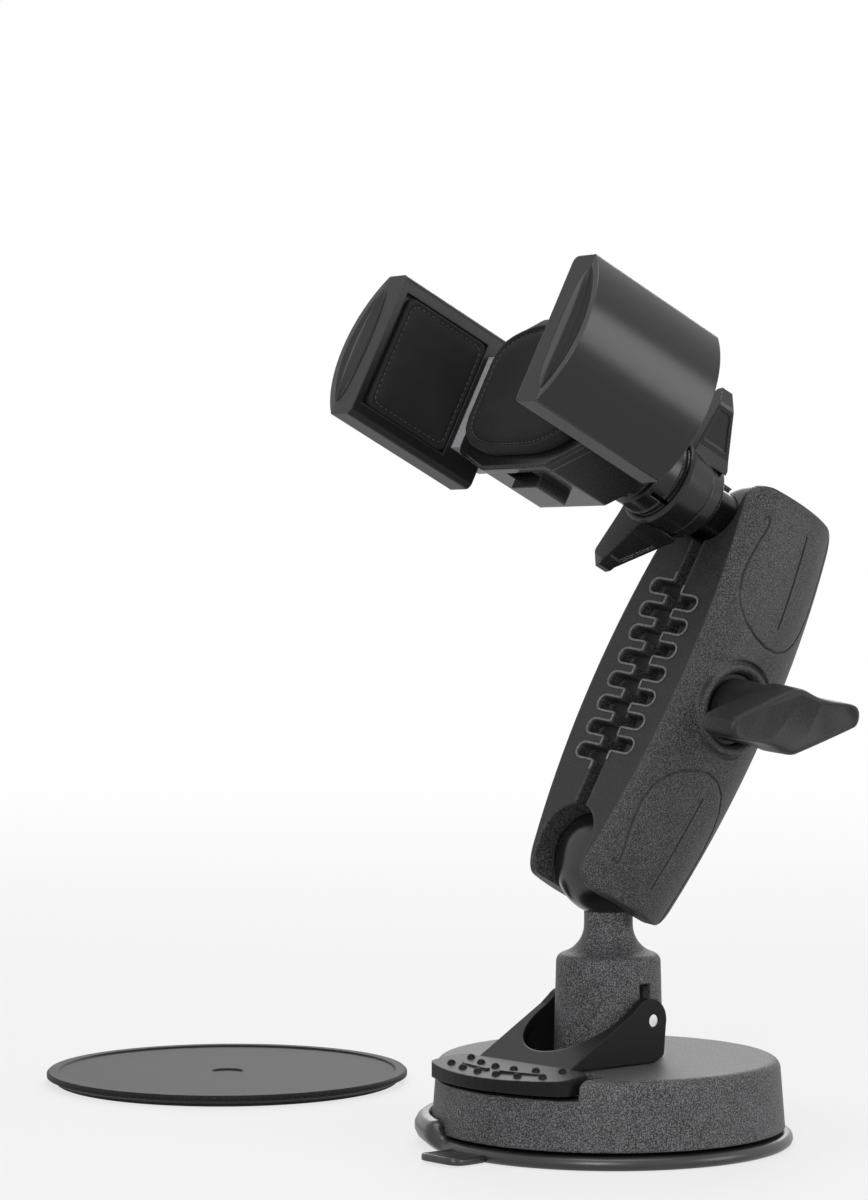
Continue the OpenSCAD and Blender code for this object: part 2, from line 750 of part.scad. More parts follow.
// Front half: a rounded ring stands in a shallow pan round the knob's recess
module arm_front() {
    color(grey_black) in_arm() {
        difference() {
            arm_half(comb_n, recess_r);
            translate([0, 0, arm_mid]) rod_x(crown_x - pan_d, huge, pan_r);
        }
        translate([0, 0, arm_mid]) rotate([0, 90, 0]) translate([0, 0, floor_x - ring_root])
            rotate_extrude() polygon(concat([[ring_r, 0]],
                [for (p = ring_shares) [ring_r + p[0] * ring_w, ring_root + p[1] * ring_h]],
                [[ring_r + ring_w, 0]]));
    }
}

module arm_rear() {
    color(grey_black) in_arm() mirror([1, 0, 0]) arm_half(comb_n + 1, head_recess_r);
}

// Clamp bolt, its six-sided head in the rear half
module clamp_bolt() {
    color(steel) in_arm() translate([0, 0, arm_mid]) {
        rod_x(-floor_x, bolt_end_x, bolt_r);
        translate([-floor_x, 0, 0]) rotate([0, -90, 0])
            cylinder(h = bolt_head_t, r = bolt_head_r, $fn = 6);
    }
}

module clamp_washer() {
    color(steel) in_arm() translate([0, 0, arm_mid]) difference() {
        rod_x(floor_x + fit / 2, floor_x + washer_t, washer_r);
        rod_x(0, huge, bolt_r + fit);
    }
}

// Spring that pushes the two halves apart
module clamp_spring() {
    half_l = arm_gap / 2 + spring_pocket_d - fit;
    color(steel) in_arm() translate([-half_l, 0, arm_mid]) rotate([0, 90, 0])
        coil(clamp_spring_r, clamp_wire_r, 5, 2 * half_l);
}

// Outline of the knob's bar: the same half twice, turned by half a turn
module knob_outline(grow) {
    half = [for (p = knob_shares) [p[0] * (knob_half_l + grow), p[1] * (knob_half_w + grow)]];
    polygon(concat(half, [for (p = half) -p]));
}

// Wing knob: a round hub that passes into a bar with two offset wings
module wing_knob() {
    edge = knob_bar_t / 8;
    color(grey_black) in_arm() translate([0, 0, arm_mid]) difference() {
        union() {
            rod_x(hub_start_x, bar_start_x + edge, hub_r);
            rotate([knob_turn, 0, 0]) rotate([90, 0, 90]) {
                translate([0, 0, bar_start_x]) linear_extrude(knob_bar_t) knob_outline(-edge / 2);
                translate([0, 0, bar_start_x + edge]) linear_extrude(knob_bar_t - 2 * edge)
                    knob_outline(0);
            }
        }
        rod_x(0, bolt_bore_end_x, bolt_r + fit);
        rod_x(0, insert_start_x + insert_l + fit, insert_r + fit);
    }
}

// Threaded brass insert in the knob's hub
module knob_insert() {
    color(brass) in_arm() translate([0, 0, arm_mid]) difference() {
        rod_x(insert_start_x, insert_start_x + insert_l, insert_r);
        rod_x(0, huge, bolt_r + fit);
    }
}

// Stem: ball core, neck, collar, thin neck and small ball, turned in one piece
module ball_stem() {
    color(black) in_stem() rotate_extrude() intersection() {
        turned(-core_r, stem_l + small_ball_r);
        union() {
            circle(core_r);
            translate([0, stem_l]) circle(small_ball_r);
            polygon([[0, 0], [neck_r, 0], [neck_r, stem_neck_end], [collar_r, collar_start],
                [collar_r, collar_end], [small_neck_r, collar_end + collar_back],
                [small_neck_r, stem_l], [0, stem_l]]);
        }
    }
}

// Side outline of a wing as a thick blank; with a rim, the triangle of its panel
module wing_blank(rim) {
    rotate([90, 0, 0]) translate([0, 0, -wing_root_w]) linear_extrude(2 * wing_root_w)
        if (rim == 0) polygon([[wing_root_r, nut_front_z - nut_lip / 2],
            [wing_r - nut_lip, wing_tip_front], [wing_r + wing_skew, wing_tip_front - nut_lip / 2],
            [wing_r + wing_skew, -wing_tip_back + nut_lip / 2], [wing_r - nut_lip, -wing_tip_back],
            [wing_root_r + nut_lip, -nut_back_z + 1.6 * nut_lip],
            [wing_root_r, -nut_back_z + 1.6 * nut_lip]]);
        else polygon([[wing_root_r + wing_panel_in, nut_front_z - nut_lip / 2 - 0.75 * rim],
            [wing_r - wing_skew - 1.5 * rim, wing_tip_front - rim],
            [wing_r - wing_skew - 1.5 * rim, -wing_tip_back - rim / 10],
            [wing_root_r + wing_panel_in, -nut_back_z + 1.6 * nut_lip + 2.7 * rim]]);
}

// Plan outline of a wing, its end cut on the skew, thinner by an inset on each side
module wing_plan(inset) {
    root = wing_root_w / 2 - inset;
    tip = wing_tip_w / 2 - inset;
    end = inset > 0 ? [[wing_r - wing_skew - nut_lip / 2, tip]] :
        [[wing_r - wing_skew + nut_lip / 4, -tip + nut_lip / 2], [wing_r + wing_skew, tip - nut_lip],
        [wing_r + wing_skew - nut_lip, tip]];
    translate([0, 0, -huge / 2]) linear_extrude(huge) polygon(concat([[0, -root - 4 * nut_lip],
        [wing_root_r, -root - nut_lip], [wing_root_r + 3 * nut_lip, -root],
        [wing_r - wing_skew - nut_lip / 2, -tip]], end, [[wing_root_r + 3 * nut_lip, root],
        [wing_root_r, root + nut_lip], [0, root + 4 * nut_lip]]));
}

// Ring nut with two wings; its cone closes the slotted socket on the small ball
module ring_nut() {
    bore_r = collet_r + thread_rise + fit;
    color(black) in_cradle() difference() {
        union() {
            rotate_extrude() polygon([[0, -nut_back_z], [nut_back_r - nut_lip, -nut_back_z],
                [nut_back_r, -nut_back_z + nut_lip], [nut_r, nut_front_z - nut_lip],
                [nut_r - nut_lip / 2, nut_front_z], [0, nut_front_z]]);
            for (turn = [0, 180]) rotate([0, 0, wing_turn + turn]) {
                intersection() {
                    wing_blank(0);
                    wing_plan(wing_panel_d);
                }
                difference() {
                    intersection() {
                        wing_blank(0);
                        wing_plan(0);
                    }
                    wing_blank(wing_rim);
                }
            }
        }
        rotate_extrude() polygon([[0, -nut_back_z - cut], [nut_hole_r, -nut_back_z - cut],
            [nut_hole_r, -nut_cone_z], [bore_r, -collet_back_z], [bore_r, nut_front_z + wing_root_r],
            [0, nut_front_z + wing_root_r]]);
    }
}

// Eight-sided outline of the cradle's body, drawn in by an inset
module body_outline(inset) {
    w = body_hw - inset;
    h = body_hh - inset;
    offset(r = body_corner_r) offset(delta = -body_corner_r)
        polygon([for (p = [[1, body_side_share], [body_taper_share, 1], [-body_taper_share, 1],
            [-1, body_side_share], [-1, -body_side_share], [-body_taper_share, -1],
            [body_taper_share, -1], [1, -body_side_share]]) [p[0] * w, p[1] * h]]);
}

// Back of the cradle: tray for the slides, with the slotted and threaded ball socket behind it
module cradle_back() {
    color(black) in_cradle() difference() {
        union() {
            translate([0, body_off, body_back_z]) linear_extrude(cavity_front_z - body_back_z)
                body_outline(0);
            rotate_extrude() {
                polygon([[0, -collet_back_z], [collet_r - thread_rise, -collet_back_z],
                    [collet_r, -collet_back_z + thread_rise], [collet_r, boss_neck_z],
                    [boss_r, boss_neck_z + thread_rise * 2], [boss_r, body_back_z - boss_flare],
                    [boss_foot_r, body_back_z + thread_rise], [0, body_back_z + thread_rise]]);
                for (i = [0:thread_n - 1])
                    translate([collet_r, -collet_back_z / 3 + i * thread_pitch])
                        polygon([[-thread_rise, -thread_rise * 2], [thread_rise, 0],
                            [-thread_rise, thread_rise * 2]]);
            }
        }
        sphere(small_ball_r + fit);
        translate([0, 0, -huge]) cylinder(h = huge, r = small_neck_r + 2.2 * small_neck_r / 4.3);
        for (i = [0:collet_slots - 1]) rotate([0, 0, (i + 1 / 2) * 360 / collet_slots])
            translate([0, -collet_slot_w / 2, -huge])
                cube([huge, collet_slot_w, huge + small_ball_r * 0.9]);
        translate([0, body_off, 0]) {
            translate([-huge / 2, -cavity_hh, cavity_back_z]) cube([huge, 2 * cavity_hh, huge]);
            translate([-button_flange_hw - button_room, -body_hh + button_wall, button_z - button_room])
                cube([2 * (button_flange_hw + button_room), body_hh, huge]);
            translate([-button_hw - button_room, -huge, button_z - button_room])
                cube([2 * (button_hw + button_room), huge, huge]);
            screw_holes();
        }
    }
    color(black) in_body() translate([0, 0, cavity_back_z - fit])
        cylinder(h = left_plate_z - slide_fit - cavity_back_z + fit, r = axle_r);
}

// Places of the four screws that close the body
module at_screws() {
    for (i = [-1, 1], j = [-1, 1]) translate([i * screw_x, j * screw_y, body_back_z]) children();
}

module screw_holes() {
    at_screws() {
        translate([0, 0, -cut]) cylinder(h = screw_head_t + cut, r = screw_head_r + fit);
        cylinder(h = screw_l + fit, r = screw_r + fit);
    }
}

// Front cover of the cradle's body
module cradle_front() {
    color(black) in_body() difference() {
        union() {
            translate([0, 0, cavity_front_z]) linear_extrude(cover_plate_t - cover_t / 3)
                body_outline(0);
            translate([0, 0, cavity_front_z]) linear_extrude(cover_plate_t)
                body_outline(cover_t / 3);
        }
        screw_holes();
    }
}

module cradle_screws() {
    color(steel) in_body() at_screws() difference() {
        union() {
            translate([0, 0, fit]) cylinder(h = screw_head_t - fit, r = screw_head_r);
            cylinder(h = screw_l, r = screw_r);
        }
        translate([0, 0, -cut]) linear_extrude(cut + screw_head_t * 0.6) {
            square([screw_head_r * 1.2, screw_r / 2], center = true);
            square([screw_r / 2, screw_head_r * 1.2], center = true);
        }
    }
}

// Soft pad on the cover, behind the phone
module middle_pad() {
    color(foam_black) in_body() translate([0, 0, body_front_z]) linear_extrude(middle_pad_t)
        body_outline(middle_pad_in);
}

// Pinion that couples the two racks
module pinion() {
    half_tooth = 90 / pinion_n;
    tip_r = pinion_r + module_size * 0.85;
    root_r = pinion_r - module_size * 1.15;
    color(pale_grey) in_body() translate([0, 0, pinion_z]) difference() {
        linear_extrude(pinion_t) {
            circle(root_r);
            for (i = [0:pinion_n - 1]) rotate(i * 360 / pinion_n)
                polygon([[0, -root_r * sin(half_tooth)], [root_r, -root_r * sin(half_tooth) * 1.05],
                    [pinion_r, -pinion_r * sin(half_tooth) * 0.9], [tip_r, -tip_r * sin(half_tooth) * 0.42],
                    [tip_r, tip_r * sin(half_tooth) * 0.42], [pinion_r, pinion_r * sin(half_tooth) * 0.9],
                    [root_r, root_r * sin(half_tooth) * 1.05], [0, root_r * sin(half_tooth)]]);
        }
        translate([0, 0, -cut]) cylinder(h = pinion_t + 2 * cut, r = axle_r + fit);
    }
}

// Rack profile, teeth towards +Y, from its inner end at x = 0 outwards
module rack_profile(length, shift) {
    depth = rack_root - rack_tip;
    square_y = slide_hh - rack_root;
    translate([0, -square_y]) square([length, square_y]);
    for (i = [0:floor(length / tooth_pitch)]) {
        x = shift + i * tooth_pitch;
        if (x + tooth_pitch * 0.4 < length && x - tooth_pitch * 0.4 > 0)
            polygon([[x - tooth_pitch * 0.36, -fit], [x - tooth_pitch * 0.36, 0],
                [x - tooth_pitch * 0.1, depth], [x + tooth_pitch * 0.1, depth],
                [x + tooth_pitch * 0.36, 0], [x + tooth_pitch * 0.36, -fit]]);
    }
}

// A slide: guide plate, rack and the block that the grip sits on; it reaches to +X
module slide(plate_z, rack_z, slot) {
    reach = jaw_x + rack_end;
    // at rest a tooth of the rack stands in the pinion's gap at the middle
    shift = rack_end - tooth_pitch * floor(rack_end / tooth_pitch);
    difference() {
        union() {
            translate([-rack_end, -slide_hh, plate_z]) cube([reach + fit, 2 * slide_hh, plate_t]);
            translate([-rack_end, -rack_root, rack_z]) linear_extrude(rack_t)
                rack_profile(reach, shift);
            translate([jaw_x, -slide_hh, right_plate_z])
                cube([slide_lock, 2 * slide_hh, left_plate_z + plate_t - right_plate_z]);
        }
        if (slot) translate([-open_travel - 2 * axle_r, -axle_r - slide_fit, plate_z - cut])
            cube([open_travel + close_travel + 4 * axle_r, 2 * (axle_r + slide_fit), plate_t + 2 * cut]);
    }
}

module right_slide() {
    color(pale_grey) in_body() slide(right_plate_z, right_rack_z, true);
}

module left_slide() {
    color(pale_grey) in_body() rotate([0, 0, 180]) slide(left_plate_z, left_rack_z, false);
}

// Lens-shaped outline between a grip's chord and its curved cover, drawn in by an inset
module grip_lens(inset) {
    intersection() {
        translate([cover_x, 0]) circle(cover_r - inset);
        translate([chord_x - inset / 2, -grip_hh]) square([huge, grip_h]);
    }
}

// Flat jaw with its two lens-shaped end walls and a seat for the pad, on the +X side
module grip() {
    difference() {
        union() {
            translate([0, 0, grip_back_z]) linear_extrude(grip_d) {
                translate([jaw_x + jaw_t / 2, 0]) round_rect(jaw_t, grip_h, jaw_corner_r);
                translate([chord_x - 2 * jaw_corner_r, -grip_hh]) square([2 * jaw_corner_r, grip_h]);
            }
            for (z = [grip_back_z + lens_in, grip_front_z - lens_in - lens_t])
                translate([0, 0, z]) linear_extrude(lens_t) grip_lens(cover_t + fit);
        }
        translate([jaw_x - cut, -slide_hh - fit, 0])
            cube([slide_lock + fit + cut, 2 * (slide_hh + fit), left_plate_z + plate_t + fit]);
        translate([jaw_x - cut, -pad_hh - fit, pad_back_z - fit])
            cube([cut + pad_t - pad_proud + fit, 2 * (pad_hh + fit),
                grip_front_z - pad_front_in - pad_back_z + 2 * fit]);
    }
}

module right_grip() {
    color(black) in_body() grip();
}

module left_grip() {
    color(black) in_body() mirror([1, 0, 0]) grip();
}

// Curved outer cover of a grip
module cover() {
    translate([0, 0, grip_back_z]) linear_extrude(grip_d) difference() {
        grip_lens(0);
        translate([cover_x, 0]) circle(cover_r - cover_t);
        translate([0, -huge / 2]) square([chord_x + fit, huge]);
    }
}

module right_cover() {
    color(black) in_body() cover();
}

module left_cover() {
    color(black) in_body() mirror([1, 0, 0]) cover();
}

// Soft pad in a grip's jaw
module pad() {
    translate([jaw_x - pad_proud, -pad_hh, pad_back_z])
        cube([pad_t, 2 * pad_hh, grip_front_z - pad_front_in - pad_back_z]);
}

module right_pad() {
    color(foam_black) in_body() pad();
}

module left_pad() {
    color(foam_black) in_body() mirror([1, 0, 0]) pad();
}

// Push button under the cradle's body that frees the grips
module release_button() {
    color(black) in_body() {
        translate([-button_hw, -body_hh - button_out, button_z])
            cube([2 * button_hw, button_out + button_wall + button_in + button_flange_t, button_d]);
        translate([-button_flange_hw, -body_hh + button_wall + button_room, button_z])
            cube([2 * button_flange_hw, button_flange_t, button_d]);
    }
}

// Stiff disc with a raised rim and a dimple in the middle
module mounting_disc() {
    top = adhesive_t + disc_t;
    color(grey_black) translate([-disc_x, -disc_y, 0]) rotate_extrude()
        polygon([[0, adhesive_t], [disc_r - disc_t, adhesive_t], [disc_r, adhesive_t + disc_t / 2],
            [disc_r, top], [disc_r - disc_rim_h, top + disc_rim_h],
            [disc_r - disc_rim_w, top + disc_rim_h], [disc_r - disc_rim_w - disc_rim_h, top],
            [disc_dimple_r, top], [disc_dimple_r - disc_dimple_d, top - disc_dimple_d],
            [0, top - disc_dimple_d]]);
}

// Adhesive layer under the disc
module disc_adhesive() {
    color(foam_black) translate([-disc_x, -disc_y, 0])
        cylinder(h = adhesive_t, r = disc_r - disc_t - adhesive_in);
}

suction_cup();
base_cap();
plunger();
plunger_spring();
pivot_pin();
lever();
lower_ball();
arm_rear();
arm_front();
clamp_bolt();
clamp_washer();
clamp_spring();
wing_knob();
knob_insert();
upper_ball();
ball_stem();
ring_nut();
cradle_back();
cradle_front();
cradle_screws();
middle_pad();
pinion();
left_slide();
right_slide();
left_grip();
right_grip();
left_cover();
right_cover();
left_pad();
right_pad();
release_button();
mounting_disc();
disc_adhesive();
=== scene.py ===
import math

import bmesh
import bpy
from mathutils import Matrix, Vector


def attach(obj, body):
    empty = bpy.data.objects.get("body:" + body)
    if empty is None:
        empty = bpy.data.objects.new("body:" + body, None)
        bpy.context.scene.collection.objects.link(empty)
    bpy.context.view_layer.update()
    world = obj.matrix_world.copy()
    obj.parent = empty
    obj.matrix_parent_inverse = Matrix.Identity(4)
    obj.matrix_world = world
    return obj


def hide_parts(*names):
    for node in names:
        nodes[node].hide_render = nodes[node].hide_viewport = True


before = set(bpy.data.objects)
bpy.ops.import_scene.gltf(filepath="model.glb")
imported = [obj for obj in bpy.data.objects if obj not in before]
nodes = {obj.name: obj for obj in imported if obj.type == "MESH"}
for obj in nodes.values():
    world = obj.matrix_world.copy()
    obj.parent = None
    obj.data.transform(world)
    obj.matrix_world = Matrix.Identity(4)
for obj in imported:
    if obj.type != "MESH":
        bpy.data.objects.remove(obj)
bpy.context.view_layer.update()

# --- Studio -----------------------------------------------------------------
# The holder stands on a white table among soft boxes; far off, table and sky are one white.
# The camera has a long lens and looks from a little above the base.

MM = 0.001


class Wire:
    """One value in a material. Sums on it add Math nodes, and node() adds any other node."""

    def __init__(self, tree, socket=None):
        self.tree, self.socket = tree, socket

    def node(self, kind, sockets=None, out=0, **settings):
        made = self.tree.nodes.new("ShaderNode" + kind)
        for name, value in settings.items():
            setattr(made, name, value)
        for name, value in (sockets or {}).items():
            entry = made.inputs[name]
            if isinstance(value, Wire):
                self.tree.links.new(value.socket, entry)
            else:
                entry.default_value = value
        return Wire(self.tree, made.outputs[out])

    def maths(self, operation, first, second=0.0):
        return self.node("Math", {0: first, 1: second}, operation=operation)

    def __add__(self, other): return self.maths("ADD", self, other)
    def __radd__(self, other): return self.maths("ADD", other, self)
    def __sub__(self, other): return self.maths("SUBTRACT", self, other)
    def __rsub__(self, other): return self.maths("SUBTRACT", other, self)
    def __mul__(self, other): return self.maths("MULTIPLY", self, other)
    def __rmul__(self, other): return self.maths("MULTIPLY", other, self)

    def between(self, low, high):
        """0 at low, 1 at high, smooth between them."""
        return self.node("MapRange", {0: self, 1: low, 2: high}, interpolation_type="SMOOTHSTEP")

    def blend(self, first, second):
        """The first colour where this is 0, the second where it is 1."""
        return self.node("Mix", {0: self, 6: first, 7: second}, out=2, data_type="RGBA")


def new_finish(name):
    made = bpy.data.materials.new(name)
    made.use_nodes = True
    made.node_tree.nodes.clear()
    return made, Wire(made.node_tree)


def end_finish(made, surface):
    out = made.node_tree.nodes.new("ShaderNodeOutputMaterial")
    made.node_tree.links.new(surface.socket, out.inputs["Surface"])
    return made


def grey(tone):
    return (tone, tone, tone * 1.03, 1)


def background_rays(w):
    """1 for a ray that shows the background: straight from the camera, off gloss or through glass."""
    straight, glossy, passing = [w.node("LightPath", out=i) for i in (0, 3, 6)]
    return w.maths("MINIMUM", straight + glossy + passing, 1.0)


white_share, white_from, white_to = 0.72, 0.25, 1.2


def table_top():
    """A dull white top that glows a little for the camera, and wholly so far from the holder."""
    made, w = new_finish("pale_table")
    seen = background_rays(w)
    cloud = w.node("TexNoise", {"Scale": 3.0, "Detail": 2.0})
    top = w.node("BsdfPrincipled", {"Base Color": cloud.blend(grey(0.6), grey(0.63)),
                                    "Roughness": 0.75})
    glow = w.node("Emission", {"Color": (1, 1, 1, 1), "Strength": 1.0})
    place = w.node("NewGeometry")
    far = w.node("VectorMath", {0: place}, out=1, operation="LENGTH").between(white_from, white_to)
    shown = w.node("MixShader", {0: seen * (white_share + far * (1 - white_share)), 1: top, 2: glow})
    return end_finish(made, shown)


bpy.ops.mesh.primitive_plane_add(size=9.0, location=(-1.5, 1.5, 0))
table = bpy.context.object
table.name = "table"
table.data.materials.append(table_top())

sky = bpy.data.worlds.new("pale_sky")
bpy.context.scene.world = sky
sky.use_nodes = True
sky.node_tree.nodes.clear()
w = Wire(sky.node_tree)
plain = w.node("Background", {"Color": grey(0.75), "Strength": 0.45})
white = w.node("Background", {"Color": (1, 1, 1, 1), "Strength": 1.0})
shown = w.node("MixShader", {0: background_rays(w), 1: plain, 2: white})
sky.node_tree.links.new(shown.socket, sky.node_tree.nodes.new("ShaderNodeOutputWorld").inputs[0])

holder_middle = Vector((0, 0, 0.09))
for name, spot, size, power in (
        ("top_box", (0.1, -0.1, 1.1), (0.5, 0.4), 3.4),
        ("key_box", (0.62, -0.78, 0.42), (0.3, 0.4), 4.2),
        ("side_box", (0.86, 0.48, 0.26), (0.42, 0.5), 2.3),
        ("rim_box", (-0.72, 0.7, 0.5), (0.7, 0.45), 3.2)):
    lamp = bpy.data.objects.new(name, bpy.data.lights.new(name, "AREA"))
    lamp.data.shape, lamp.data.energy = "RECTANGLE", power
    lamp.data.size, lamp.data.size_y = size
    lamp.location = spot
    lamp.rotation_mode = "QUATERNION"
    lamp.rotation_quaternion = (holder_middle - Vector(spot)).to_track_quat("-Z", "Y")
    bpy.context.scene.collection.objects.link(lamp)

look_from = Vector((747.39, -723.14, 169.89)) * MM
turn, dip = math.radians(48.21), math.radians(2.31)
look_along = Vector((-math.sin(turn) * math.cos(dip), math.cos(turn) * math.cos(dip), -math.sin(dip)))
photo_height, focal_pixels = 1200, 4425.5
eye = bpy.data.objects.new("camera", bpy.data.cameras.new("camera"))
eye.data.sensor_width = 36
eye.data.lens = 36 * focal_pixels / photo_height
eye.location = look_from
eye.rotation_mode = "QUATERNION"
eye.rotation_quaternion = look_along.to_track_quat("-Z", "Y")
eye.data.clip_start = 0.05
bpy.context.scene.collection.objects.link(eye)
bpy.context.scene.camera = eye
bpy.context.scene.view_settings.view_transform = "Standard"

# --- Base cap and post --------------------------------------------------------
# One moulding of glass-filled plastic with a sparked, sandy grain all over it.
# The cup, the lock's spring and the rod sit inside it; the ball's core tops it.


def plastic(name, tone, sand=0.0, grain_mm=0.4, rough=0.5, shine=0.3, edge_mm=0.35, edge_highlight_gain=0.25,
            painted_shade_axis=None):
    """Moulded plastic: sandy grain, soft edges with a painted highlight, and painted shade on the faces along
    one axis, if any.
    """
    made, w = new_finish(name)
    grain = grain_mm * MM
    place = w.node("TexCoord", out=3)
    fine = w.node("TexNoise", {"Vector": place, "Scale": 0.62 / grain, "Detail": 2.5, "Roughness": 0.6})
    pits = w.node("TexVoronoi", {"Vector": place, "Scale": 1.0 / grain}, feature="SMOOTH_F1")
    cloud = w.node("TexNoise", {"Vector": place, "Scale": 0.05 / grain, "Detail": 3.0})
    soft = w.node("Bevel", {"Radius": edge_mm * MM}, samples=4)
    true = w.node("NewGeometry", out=1)
    facing = w.node("VectorMath", {0: soft, 1: true}, out=1, operation="DOT_PRODUCT")
    # Near edges that the bevel rounds, this mask lightens the colour: a painted highlight.
    painted_edge_highlight = (1 - facing).between(0.005, 0.16)
    speck = fine.between(0.46, 0.6)
    mask = speck * 0.92 + cloud.between(0.3, 0.7) * 0.08
    low, high = grey(tone * (1 - 0.85 * sand)), grey(tone * (1 + 2.6 * sand))
    skin = mask.blend(low, high)
    # Faces turned along the given axis are coloured darker: painted shade.
    if painted_shade_axis:
        facing_out = w.node("TexCoord", out=1)
        toward = w.node("VectorMath", {0: facing_out, 1: painted_shade_axis}, out=1, operation="DOT_PRODUCT")
        plain = w.maths("ABSOLUTE", toward).between(0.9, 0.985) * 0.75
        skin = plain.blend(skin, grey(tone * 0.45))
    # The lighter colour along the edges is a painted highlight.
    lit = (painted_edge_highlight * edge_highlight_gain).blend(skin, grey(tone * 2.2 + 0.05))
    height = fine * (0.1 + 0.9 * sand) + pits * (0.35 * sand)
    bump = w.node("Bump", {"Height": height, "Normal": soft, "Strength": 0.05 + 0.8 * sand,
                           "Distance": (0.06 + 0.3 * sand) * grain})
    surface = w.node("BsdfPrincipled", {
        "Base Color": lit, "Roughness": rough + speck * (0.02 + 0.1 * sand) - painted_edge_highlight * 0.08,
        "Specular IOR Level": shine, "Normal": bump})
    return end_finish(made, surface)


def finish_node(name, material):
    """Gives a carried CAD part its finish."""
    part = nodes[name]
    part.data.materials.clear()
    part.data.materials.append(material)


sandy = plastic("sandy_black_plastic", 0.054, sand=0.9, grain_mm=0.19, rough=0.5, shine=0.3, edge_mm=0.7)
finish_node("base_cap", sandy)

# --- Lock: plunger, spring, pin ------------------------------------------------
# The pin crosses the post through two slots and pulls the plunger up with the cup.
# The pin is bright drawn steel, the spring is wire, and the plunger is plain nylon.


def metal(name, tone, warm=0.0, rough=0.3, brush=0.4):
    """Drawn or plated metal with fine scratches and dull patches."""
    made, w = new_finish(name)
    place = w.node("TexCoord", out=3)
    scratch = w.node("TexNoise", {"Vector": place, "Scale": 2400.0, "Detail": 4.0,
                                  "Roughness": 0.7})
    dull = w.node("TexNoise", {"Vector": place, "Scale": 160.0, "Detail": 3.0})
    soft = w.node("Bevel", {"Radius": 0.2 * MM}, samples=4)
    light = (tone, tone * (1 - 0.15 * warm), tone * (1 - 0.55 * warm), 1)
    dark = tuple(c * 0.72 for c in light[:3]) + (1,)
    bump = w.node("Bump", {"Height": scratch, "Normal": soft, "Strength": brush,
                           "Distance": 0.01 * MM})
    surface = w.node("BsdfPrincipled", {
        "Base Color": dull.between(0.35, 0.65).blend(dark, light), "Metallic": 1.0,
        "Roughness": rough + scratch * 0.2, "Normal": bump})
    return end_finish(made, surface)


bright_steel = metal("drawn_steel", 0.72, rough=0.22)
spring_wire = metal("spring_wire", 0.5, rough=0.3)
nylon = plastic("plain_nylon", 0.02, sand=0.1, rough=0.45)
finish_node("pivot_pin", bright_steel)
finish_node("plunger_spring", spring_wire)
finish_node("plunger", nylon)

# --- Lever ------------------------------------------------------------------------
# One smooth moulding: two ears on the pin, a dished web, and a paddle with raised
# dots for the thumb. It is darker and smoother than the cap; its edges catch the light
# and carry a painted highlight.

lever_plastic = plastic("smooth_lever_plastic", 0.009, sand=0.06, grain_mm=0.25, rough=0.45,
                        shine=0.12, edge_mm=0.5, edge_highlight_gain=0.5)
finish_node("lever", lever_plastic)

# --- Rubber balls -------------------------------------------------------------------
# Each ball's core is covered with a moulded rubber skin, which grips in the arm's
# sockets. The skin is glossy black and is open below, round the neck.


def rubber(name, tone, rough=0.42, shine=0.4, sand=0.2, grain_mm=0.3):
    made, w = new_finish(name)
    place = w.node("TexCoord", out=3)
    fine = w.node("TexNoise", {"Vector": place, "Scale": 0.6 / (grain_mm * MM), "Detail": 3.0})
    bloom = w.node("TexNoise", {"Vector": place, "Scale": 90.0, "Detail": 4.0})
    soft = w.node("Bevel", {"Radius": 0.4 * MM}, samples=4)
    bump = w.node("Bump", {"Height": fine, "Normal": soft, "Strength": 0.3 + sand,
                           "Distance": 0.02 * MM})
    surface = w.node("BsdfPrincipled", {
        "Base Color": bloom.between(0.3, 0.75).blend(grey(tone * 0.85), grey(tone * 1.35)),
        "Roughness": rough + fine * 0.12 + bloom * 0.08, "Specular IOR Level": shine,
        "Normal": bump})
    return end_finish(made, surface)


ball_rubber = rubber("ball_rubber", 0.007, rough=0.13, shine=0.6, sand=0.0)
finish_node("lower_ball", ball_rubber)
finish_node("upper_ball", ball_rubber)

# --- Arm --------------------------------------------------------------------------
# Two mirrored halves of the same sandy plastic clamp both balls. A bolt with a
# spring between the halves runs through the middle to the wing knob.

ball_height, arm_span, arm_lean, arm_roll = 66.1, 86, -27.7, 5.6


def turned(axis, degrees):
    return Matrix.Rotation(math.radians(degrees), 4, axis)


def moved(x, y, z):
    return Matrix.Translation((x * MM, y * MM, z * MM))


def new_piece(name, points, faces, material, place=Matrix.Identity(4), flat_above=35):
    """A mesh piece from points in millimetres, shaded smooth up to an angle between faces."""
    mesh = bpy.data.meshes.new(name)
    mesh.from_pydata([place @ (Vector(p) * MM) for p in points], [], faces)
    form = bmesh.new()
    form.from_mesh(mesh)
    bmesh.ops.remove_doubles(form, verts=form.verts, dist=1e-7)
    bmesh.ops.recalc_face_normals(form, faces=form.faces)
    for face in form.faces:
        face.smooth = True
    for edge in form.edges:
        if len(edge.link_faces) == 2 and edge.calc_face_angle(0) > math.radians(flat_above):
            edge.smooth = False
    form.to_mesh(mesh)
    form.free()
    mesh.materials.append(material)
    piece = bpy.data.objects.new(name, mesh)
    bpy.context.scene.collection.objects.link(piece)
    return piece


def rings_mesh(rings, closed=False):
    """Faces between rings of equal count; the end rings are capped unless the rings close."""
    count, sides = len(rings[0]), []
    points = [p for ring in rings for p in ring]
    last = len(rings) if closed else len(rings) - 1
    for i in range(last):
        a, b = i * count, ((i + 1) % len(rings)) * count
        sides += [(a + k, a + (k + 1) % count, b + (k + 1) % count, b + k) for k in range(count)]
    if not closed:
        sides += [tuple(range(count))[::-1], tuple(range(len(points) - count, len(points)))]
    return points, sides


